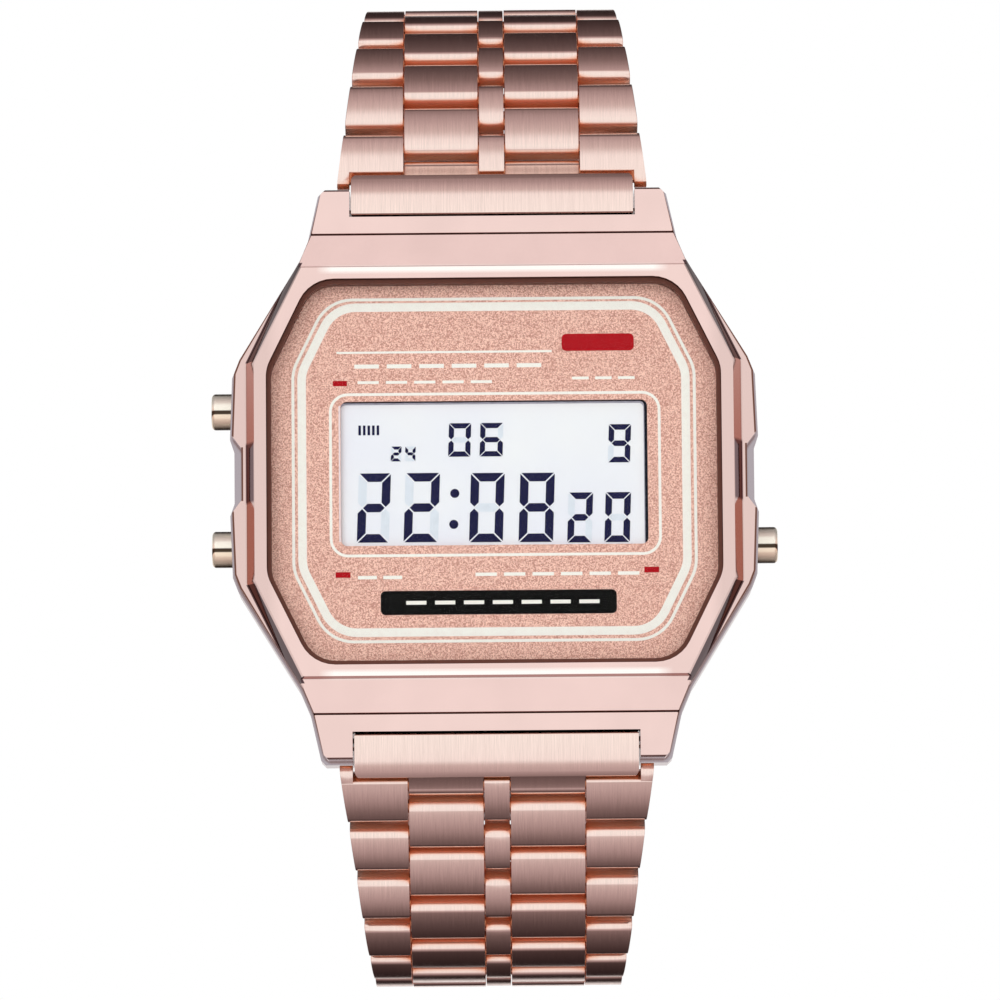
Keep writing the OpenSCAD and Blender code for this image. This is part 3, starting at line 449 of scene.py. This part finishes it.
def slab(name, shapes, front, thick, material):
    """Thin flat shapes, each a list of x and z points, on a plane at depth front."""
    verts, faces = [], []
    for shape in shapes:
        area = sum(a[0] * b[1] - b[0] * a[1] for a, b in zip(shape, shape[1:] + shape[:1]))
        points = shape if area > 0 else shape[::-1]
        n, base = len(points), len(verts)
        verts += [(x, front, z) for x, z in points] + [(x, front + thick, z) for x, z in points]
        faces.append([base + i for i in range(n)])
        faces.append([base + n + i for i in reversed(range(n))])
        for i in range(n):
            j = (i + 1) % n
            faces.append([base + j, base + i, base + n + i, base + n + j])
    piece(name, verts, faces, material)


def frame_ring(name, outer, inner, front, thick, material):
    """A flat line between two loops that have the same number of points."""
    n = len(outer)
    verts = [(x, y, z) for y in (front, front + thick) for loop in (outer, inner) for x, z in loop]
    faces = []
    for i in range(n):
        j = (i + 1) % n
        faces.append([i, j, n + j, n + i])
        faces.append([2 * n + j, 2 * n + i, 3 * n + i, 3 * n + j])
        faces.append([j, i, 2 * n + i, 2 * n + j])
        faces.append([n + i, n + j, 3 * n + j, 3 * n + i])
    piece(name, verts, faces, material)


def rounded(points, radius, steps=8):
    """The polygon with every corner turned into an arc."""
    out = []
    for i, corner in enumerate(points):
        corner = Vector(corner)
        u = (Vector(points[i - 1]) - corner).normalized()
        v = (Vector(points[(i + 1) % len(points)]) - corner).normalized()
        half = u.angle(v) / 2
        middle = corner + (u + v).normalized() * radius / math.sin(half)
        start = corner + u * radius / math.tan(half) - middle
        end = corner + v * radius / math.tan(half) - middle
        turn = math.atan2(start.x * end.y - start.y * end.x, start.dot(end))
        for k in range(steps + 1):
            a = turn * k / steps
            out.append((middle.x + start.x * math.cos(a) - start.y * math.sin(a),
                        middle.y + start.x * math.sin(a) + start.y * math.cos(a)))
    return out


def octagon(half_w, half_h, distance, rise):
    """Corner points of the face's octagon, with its middle raised by rise."""
    lean = math.radians(FACE_LEAN)
    z = (distance - half_w * math.cos(lean)) / math.sin(lean)
    x = (distance - half_h * math.sin(lean)) / math.cos(lean)
    points = [(half_w, z), (x, half_h), (-x, half_h), (-half_w, z),
              (-half_w, -z), (-x, -half_h), (x, -half_h), (half_w, -z)]
    return [(px, pz + rise) for px, pz in points]


def box(x0, z0, x1, z1):
    return [(x0, z0), (x1, z0), (x1, z1), (x0, z1)]


INK = plastic("ink_cream", CREAM, 0.35, 3000, change=0.03, relief=0.03)
# Painted highlight: a pale line that stands in for the lit inner wall at the window's left edge
WINDOW_HIGHLIGHT_INK = plastic("window_highlight", (0.92, 0.78, 0.79), 0.35, 3000, change=0.03, relief=0.03)
RED_INK = plastic("ink_red", (0.45, 0.007, 0.013), 0.3, 3000, change=0.06, relief=0.03, gloss=0)
BLACK_INK = plastic("ink_black", (0.0025, 0.0025, 0.0022), 0.25, 3000, change=0.1, relief=0.03, gloss=0)
# Thin enough to stay clear of the crystal, which starts 0.02 mm above the plate
INK_THICK = 0.008
PRINT_FRONT = PLATE_FRONT - INK_THICK
OCTAGON_RISE = 0.5


def printed(name, shapes, ink=INK, front=PRINT_FRONT):
    slab("print_" + name, shapes, front, INK_THICK, ink)


def printed_ring(name, outer, inner):
    frame_ring("print_" + name, outer, inner, PRINT_FRONT, INK_THICK, INK)


def octagon_line(name, size, width, radius, rise):
    """An octagon's line; size is half its width, half its height and its slanted sides' distance."""
    inner = (size[0] - width, size[1] - width, size[2] - width)
    printed_ring(name, rounded(octagon(*size, rise), radius), rounded(octagon(*inner, rise), radius - width))


def dashes(x0, x1, z0, z1, count, gap):
    """A row of plain bars in place of a line of words."""
    step = (x1 - x0 + gap) / count
    return [box(x0 + i * step, z0, x0 + (i + 1) * step - gap, z1) for i in range(count)]


# Print on the face plate in millimetres: lines round the face and the window
octagon_line("octagon_thin", (12.86, 11.03, 14.38), 0.19, 2.6, OCTAGON_RISE - 0.04)
octagon_line("octagon_thick", (12.48, 10.67, 13.98), 0.55, 2.5, OCTAGON_RISE)
printed_ring("window_line", rounded(box(-10.48, -5.09, 10.6, 5.4), 1.18),
             rounded(box(-10.3, -4.91, 10.42, 5.22), 1.0))
# Painted highlight along the window's left edge
printed("window_highlight", [box(-9.87, -4.1, -9.77, 4.6)], WINDOW_HIGHLIGHT_INK)
printed("rule", [box(-9.98, 7.93, 3.72, 8.07)])

# Rows of bars in place of words: left and right end, lower and upper edge, how many, and the gap between two
WORD_BARS = {
    "top": (-8.85, 3.05, 6.98, 7.24, 6, 0.5),
    "left": (-8.65, -0.1, 5.99, 6.17, 5, 0.45),
    "right": (5.0, 8.98, 6.17, 6.35, 3, 0.4),
    "lower_left": (-8.7, -5.9, -6.5, -6.28, 2, 0.4),
    "lower_right": (-1.25, 9.15, -6.35, -6.13, 6, 0.45),
}
for row, bars in WORD_BARS.items():
    printed("bars_" + row, dashes(*bars))
printed("mark_red", [rounded(box(4.35, 8.0, 8.95, 9.1), 0.3)], RED_INK)
printed("dashes_red", [box(-10.22, 5.86, -9.32, 6.2), box(-10.12, -6.39, -9.17, -6.03),
                       box(9.46, -6.22, 10.41, -5.85)], RED_INK)
printed("pill", [rounded(box(-7.27, -8.79, 7.7, -7.26), 0.32)], BLACK_INK)
printed("pill_bars", dashes(-5.65, 6.6, -8.14, -7.9, 7, 0.55), front=PRINT_FRONT - INK_THICK)

# Seven-part digits: which of the bars a to g are dark
ALL_BARS = "abcdefg"
BARS_ON = {"0": "abcdef", "2": "abdeg", "4": "bcfg", "6": "acdefg", "8": ALL_BARS, "9": "abcdfg"}
# Gap at each mitred end as a share of the bar's width
MITRE_GAP = 0.12


def digit_bars(x0, z0, width, height, bar, lean, letters):
    """Mitred bars of one digit, leaning to the right by lean over its height."""
    g = bar * MITRE_GAP
    m = height / 2
    h = bar / 2
    shapes = {
        "a": [(g, height), (width - g, height), (width - bar - g, height - bar), (bar + g, height - bar)],
        "d": [(g, 0), (width - g, 0), (width - bar - g, bar), (bar + g, bar)],
        "g": [(h + g, m), (bar + g, m + h), (width - bar - g, m + h), (width - h - g, m),
              (width - bar - g, m - h), (bar + g, m - h)],
        "f": [(0, height - g), (bar, height - bar - g), (bar, m + h + g), (h, m + g), (0, m + h + g)],
        "b": [(width, height - g), (width - bar, height - bar - g), (width - bar, m + h + g),
              (width - h, m + g), (width, m + h + g)],
        "e": [(0, g), (bar, bar + g), (bar, m - h - g), (h, m - g), (0, m - h - g)],
        "c": [(width, g), (width - bar, bar + g), (width - bar, m - h - g), (width - h, m - g),
              (width, m - h - g)],
    }
    return [[(x0 + x + lean * z / height, z0 + z) for x, z in shapes[k]] for k in letters]


def dot(x, z, radius, sides=20):
    return [(x + radius * math.cos(2 * math.pi * i / sides), z + radius * math.sin(2 * math.pi * i / sides))
            for i in range(sides)]


# Left edge, lower edge, width, height, bar width, lean and digit of every place on the display
PLACES = [
    (-8.77, -4.12, 2.04, 4.42, 0.54, 0.16, "2"), (-5.8, -4.12, 2.19, 4.42, 0.54, 0.16, "2"),
    (-1.64, -4.15, 2.14, 4.42, 0.54, 0.16, "0"), (1.5, -4.17, 2.19, 4.42, 0.54, 0.16, "8"),
    (4.59, -4.22, 1.56, 3.19, 0.42, 0.12, "2"), (6.95, -4.22, 1.61, 3.19, 0.42, 0.12, "0"),
    (7.22, 0.88, 1.41, 2.44, 0.35, 0.1, "9"), (-2.93, 1.33, 1.41, 2.14, 0.33, 0.08, "0"),
    (-0.93, 1.33, 1.46, 2.14, 0.33, 0.08, "6"), (-6.58, 1.06, 0.66, 0.95, 0.19, 0.04, "2"),
    (-5.68, 1.06, 0.66, 0.95, 0.19, 0.04, "4"),
]
COLON_DOTS = [(-2.52, -1.02), (-2.6, -3.0)]
COLON_RADIUS = 0.29
# Small upright bars at the upper left of the display
TICKS = 5
TICK_LEFT = -8.62
TICK_STEP = 0.29
TICK_WIDTH = 0.16
TICK_LOW = 2.75
TICK_HIGH = 3.37

# Painted shadow along the display's top and right edges: a near black line and a softer grey-blue band
WINDOW_SHADOW_INK = plastic("display_shadow_dark", (0.012, 0.014, 0.024), 0.4, change=0.1, relief=0.02, gloss=0)
SHADE_INK = plastic("display_shade", (0.42, 0.43, 0.52), 0.4, change=0.1, relief=0.02, gloss=0)
DIGIT_INK = plastic("display_dark", (0.014, 0.014, 0.058), 0.3, 2000, change=0.1, relief=0.02, gloss=0)
GHOST_INK = plastic("display_faint", (0.78, 0.85, 0.92), 0.3, 2000, change=0.03, relief=0.02)
DIGIT_FRONT = DISPLAY_FRONT - 0.02
GHOST_FRONT = DIGIT_FRONT + 0.006
SHADE_FRONT = DIGIT_FRONT + 0.01
DIGIT_THICK = 0.015
GHOST_THICK = 0.01
SHADOW_THICK = 0.004

dark, faint = [], []
for *measures, number in PLACES:
    dark += digit_bars(*measures, BARS_ON[number])
    faint += digit_bars(*measures, [bar for bar in ALL_BARS if bar not in BARS_ON[number]])
dark += [dot(x, z, COLON_RADIUS) for x, z in COLON_DOTS]
for i in range(TICKS):
    left = TICK_LEFT + TICK_STEP * i
    dark.append(box(left, TICK_LOW, left + TICK_WIDTH, TICK_HIGH))


def window_shadow(name, inner, front, ink):
    """A painted shadow of the plate's edge as a line at the top and right of the display; its other two sides
    lie behind the plate.
    """
    frame_ring(name, rounded(box(-10.3, -5.0, 10.3, 5.5), 0.5), rounded(box(*inner), 0.3),
               front, SHADOW_THICK, ink)


# Painted shadow where the plate's edge shades the display
window_shadow("display_shadow_line", (-9.95, -4.65, 9.57, 4.8), DIGIT_FRONT, WINDOW_SHADOW_INK)
window_shadow("display_shadow_soft", (-9.75, -4.6, 9.52, 4.68), SHADE_FRONT, SHADE_INK)
slab("display_digits", dark, DIGIT_FRONT, DIGIT_THICK, DIGIT_INK)
slab("display_faint_bars", faint, GHOST_FRONT, GHOST_THICK, GHOST_INK)

# Camera where the photograph's was: a little below the face, looking up at it
TILT = math.radians(6.5)
ROLL = math.radians(-0.5)
DISTANCE = 0.45
IMAGE_SIDE = 1000
PIXELS_PER_MM = 15.8
AIM_RIGHT = 5.5 / PIXELS_PER_MM * MM
AIM_DOWN = 30.5 / PIXELS_PER_MM * MM
SENSOR = 36.0
forward = Vector((0, math.cos(TILT), math.sin(TILT)))
upward = Vector((0, -math.sin(TILT), math.cos(TILT)))
sideways = Vector((1, 0, 0))
lens = bpy.data.cameras.new("camera")
lens.sensor_width = SENSOR
lens.lens = SENSOR * DISTANCE / (IMAGE_SIDE / PIXELS_PER_MM * MM)
lens.clip_start = 0.01
camera = bpy.data.objects.new("camera", lens)
aim = Vector((0, RING_FRONT * MM, 0)) + sideways * AIM_RIGHT - upward * AIM_DOWN
basis = Matrix((sideways, upward, -forward)).transposed().to_4x4()
camera.matrix_world = Matrix.Translation(aim - forward * DISTANCE) @ basis @ Matrix.Rotation(ROLL, 4, "Z")
bpy.context.scene.collection.objects.link(camera)
bpy.context.scene.camera = camera


def soft_lamp(name, place, size, power):
    """A soft box in metres and watts that points at the watch, and that metal doesn't mirror."""
    light = bpy.data.lights.new(name, "AREA")
    light.shape = "RECTANGLE"
    light.size, light.size_y = size
    light.energy = power
    lamp = bpy.data.objects.new(name, light)
    lamp.location = place
    lamp.visible_glossy = False
    lamp.rotation_euler = (-Vector(place)).to_track_quat("-Z", "Y").to_euler()
    bpy.context.scene.collection.objects.link(lamp)


soft_lamp("lamp_front_left", (-0.4, -0.7, 0.3), (0.6, 0.6), 2.2)
soft_lamp("lamp_front_right", (0.45, -0.7, -0.05), (0.5, 0.6), 1.4)
soft_lamp("lamp_back", (0.1, 0.7, 0.3), (0.6, 0.6), 0.8)

# White where the camera looks and lit evenly for matt surfaces. Polished metal mirrors a bright studio in
# front of the watch, a brown dark above and below it, a copper glow to both sides and a pale wall behind it.
AMBIENT = (0.6, 0.6, 0.6)
WHITE = (1.0, 1.0, 1.0)
SKY = [
    (0.0, (1.08, 1.06, 1.05)), (0.15, (1.06, 1.01, 1.01)), (0.21, (0.70, 0.57, 0.56)),
    (0.3, (0.56, 0.43, 0.43)), (0.4, (0.39, 0.285, 0.285)), (0.49, (0.22, 0.152, 0.15)),
    (0.62, (0.12, 0.08, 0.08)), (0.75, (0.065, 0.04, 0.04)), (0.9, (0.03, 0.018, 0.018)),
]
COPPER_SIDES = (0.66, 0.35, 0.28)
SIDE_SPREAD = 0.8
SIDE_START = (0.3, 0.6)
BEHIND = (0.85, 0.79, 0.78)
BEHIND_TOP = (0.28, 0.45)
BEHIND_START = (0.1, 0.35)


def mirrored_studio(t, x, y, z):
    """Colour of the studio in the direction x, y, z, for the rays that metal mirrors."""
    up = t.math("ABSOLUTE", z)
    aside = t.math("SUBTRACT", t.math("ABSOLUTE", x),
                   t.math("ADD", t.math("MULTIPLY", up, SIDE_SPREAD), t.math("MAXIMUM", y, 0.0)))
    sides = t.mix(t.span(aside, 0, 1, *SIDE_START), t.ramp(t.span(y, 0, 1, -1, 1), SKY), COPPER_SIDES)
    back = t.math("MULTIPLY", t.span(up, 1, 0, *BEHIND_TOP), t.span(y, 0, 1, *BEHIND_START))
    return t.mix(back, sides, BEHIND)


world = bpy.data.worlds.new("studio")
world.use_nodes = True
bpy.context.scene.world = world
studio = Tree(world.node_tree)
seen = studio.split(studio.place.outputs["Generated"])
glossy = studio.mix(studio.ray("Glossy"), AMBIENT, mirrored_studio(studio, seen["X"], seen["Y"], seen["Z"]))
clear = studio.mix(studio.ray("Transmission"), glossy, WHITE)
studio.join(studio.mix(studio.ray("Camera"), clear, WHITE), studio.nodes["Background"].inputs["Color"])

# Plain pale floor under the watch, which metal sees as a part of the studio
FLOOR_Z = -0.075
FLOOR_HALF = 3.0
floor_mesh = bpy.data.meshes.new("floor")
floor_corners = [(x, y, FLOOR_Z) for x, y in box(-FLOOR_HALF, -FLOOR_HALF, FLOOR_HALF, FLOOR_HALF)]
floor_mesh.from_pydata(floor_corners, [], [(0, 1, 2, 3)])
floor = bpy.data.objects.new("floor", floor_mesh)
bpy.context.scene.collection.objects.link(floor)
pale = Shader("floor_pale")
pale.set(Base_Color=(0.9, 0.9, 0.9, 1), Roughness=0.7)
to_viewer = pale.split(pale.nodes.new("ShaderNodeNewGeometry").outputs["Incoming"])
away = pale.math("MULTIPLY", to_viewer["Y"], -1.0)
mirror = pale.nodes.new("ShaderNodeEmission")
pale.join(mirrored_studio(pale, to_viewer["X"], away, to_viewer["Z"]), mirror.inputs["Color"])
pick = pale.nodes.new("ShaderNodeMixShader")
pale.join(pale.ray("Glossy"), pick.inputs["Fac"])
pale.join(pale.surface.outputs["BSDF"], pick.inputs[1])
pale.join(mirror.outputs["Emission"], pick.inputs[2])
pale.join(pick.outputs["Shader"], pale.nodes["Material Output"].inputs["Surface"])
floor_mesh.materials.append(pale.material)

bpy.context.scene.view_settings.view_transform = "Standard"
